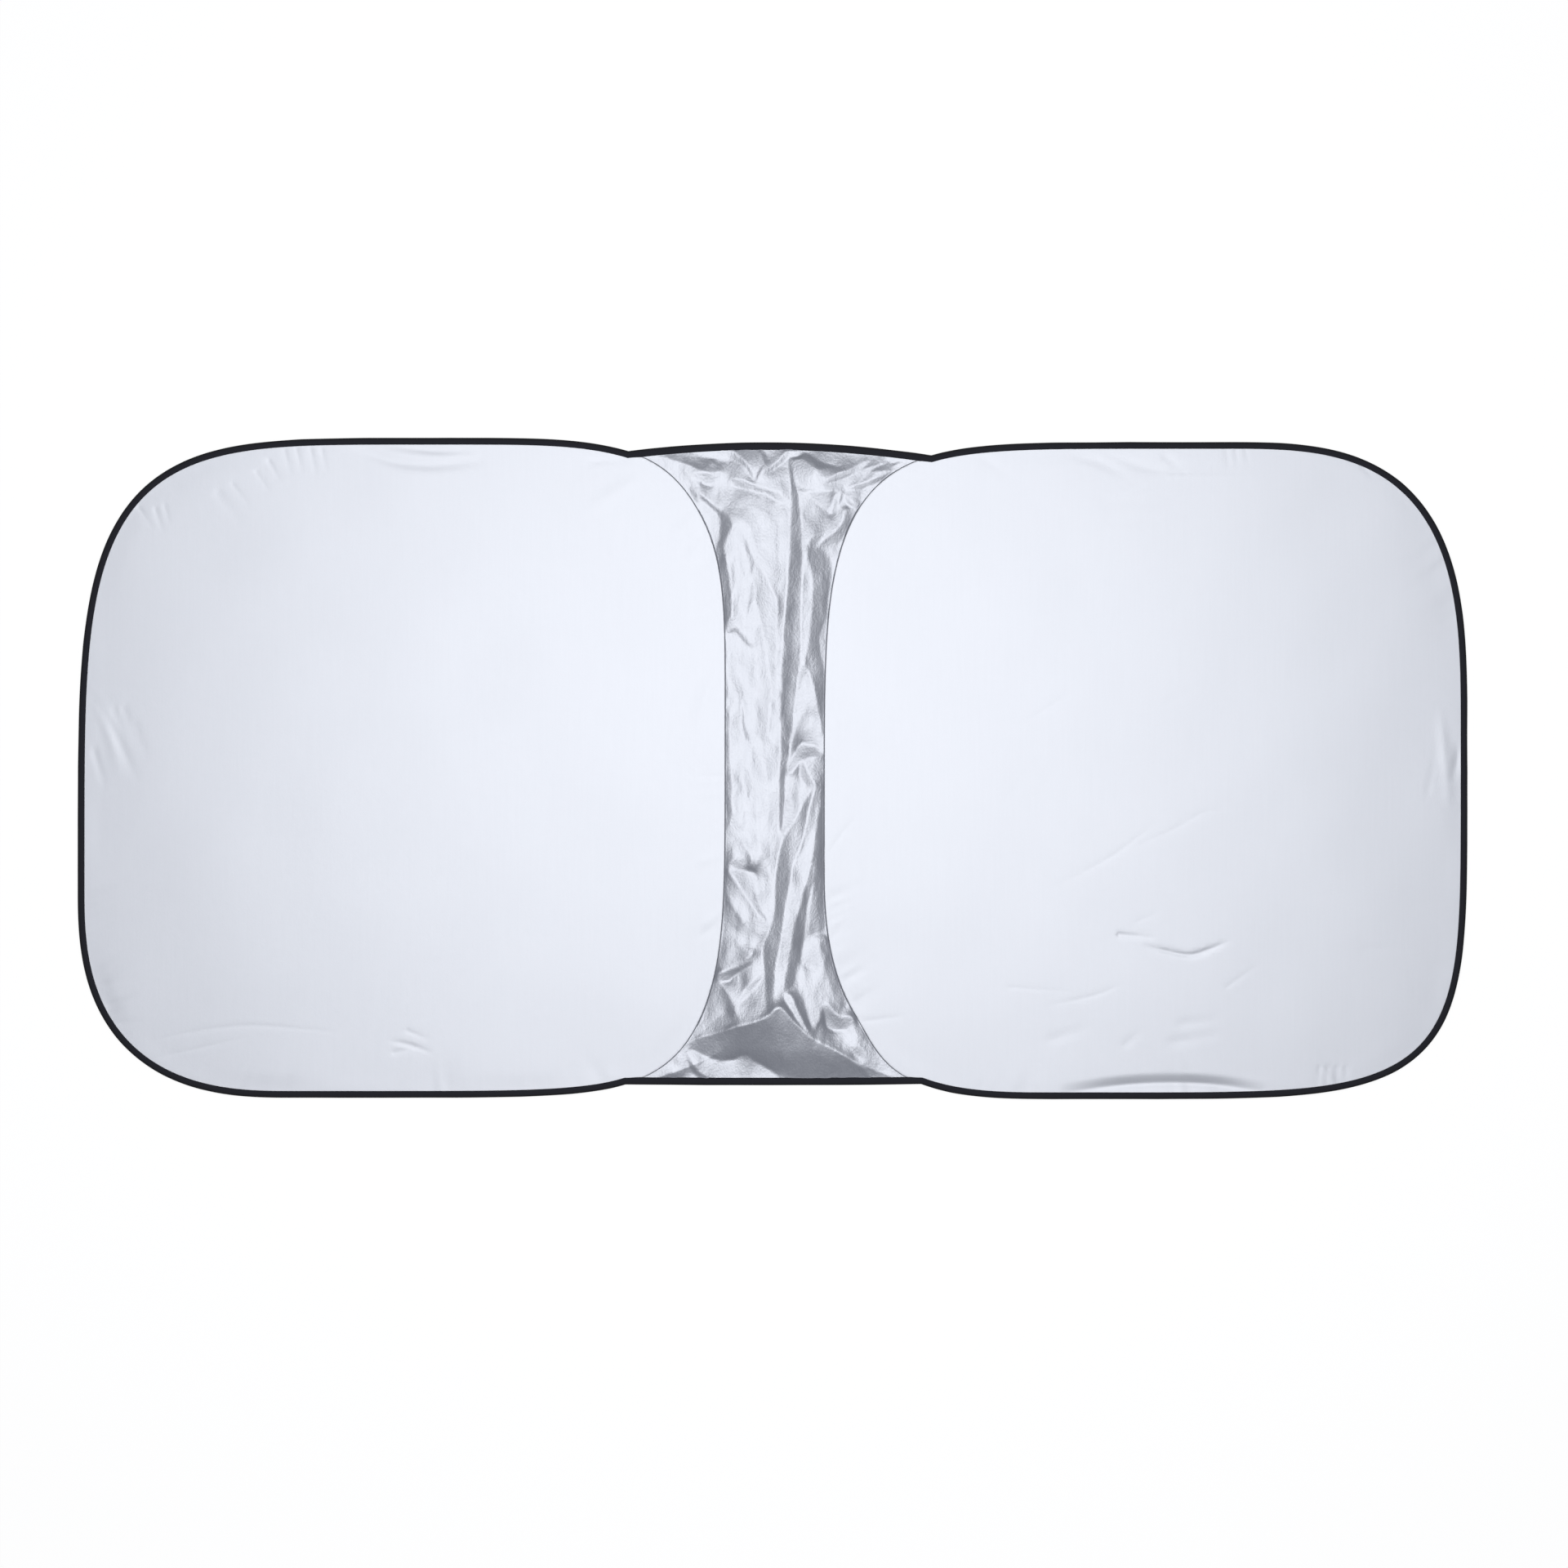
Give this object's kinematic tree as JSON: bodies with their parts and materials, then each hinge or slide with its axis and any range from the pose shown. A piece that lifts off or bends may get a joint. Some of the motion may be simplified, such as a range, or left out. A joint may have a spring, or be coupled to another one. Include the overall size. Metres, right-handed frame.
{
  "type": "windscreen sunshade",
  "caption": "Windscreen sunshade laid open: taut silver cloth panels on sprung wire hoops, joined by a slack creased cloth bridge, with black tape bound round the edge.",
  "frame": {"origin": "middle of the shade's outline, on the surface it lies on", "axes": "+X along the shade's length, +Y towards its upper edge, +Z out of its silver face"},
  "size_m": [1.498, 0.713, 0.0239],
  "materials": {
    "panel_cloth": "silver-coated polyester, taut, satin",
    "bridge_cloth": "silver-coated polyester, creased, satin",
    "edge_tape": "woven charcoal binding tape, matte",
    "casing_tape": "woven charcoal tape, matte",
    "spring_steel": "bare spring steel wire"
  },
  "bodies": {
    "root": {"left_panel": "panel_cloth", "right_panel": "panel_cloth", "bridge_panel": "bridge_cloth", "edge_binding": "edge_tape", "left_hoop": "spring_steel", "right_hoop": "spring_steel", "left_ferrule": "spring_steel", "right_ferrule": "spring_steel", "left_casing": "casing_tape", "right_casing": "casing_tape"}
  },
  "joints": []
}
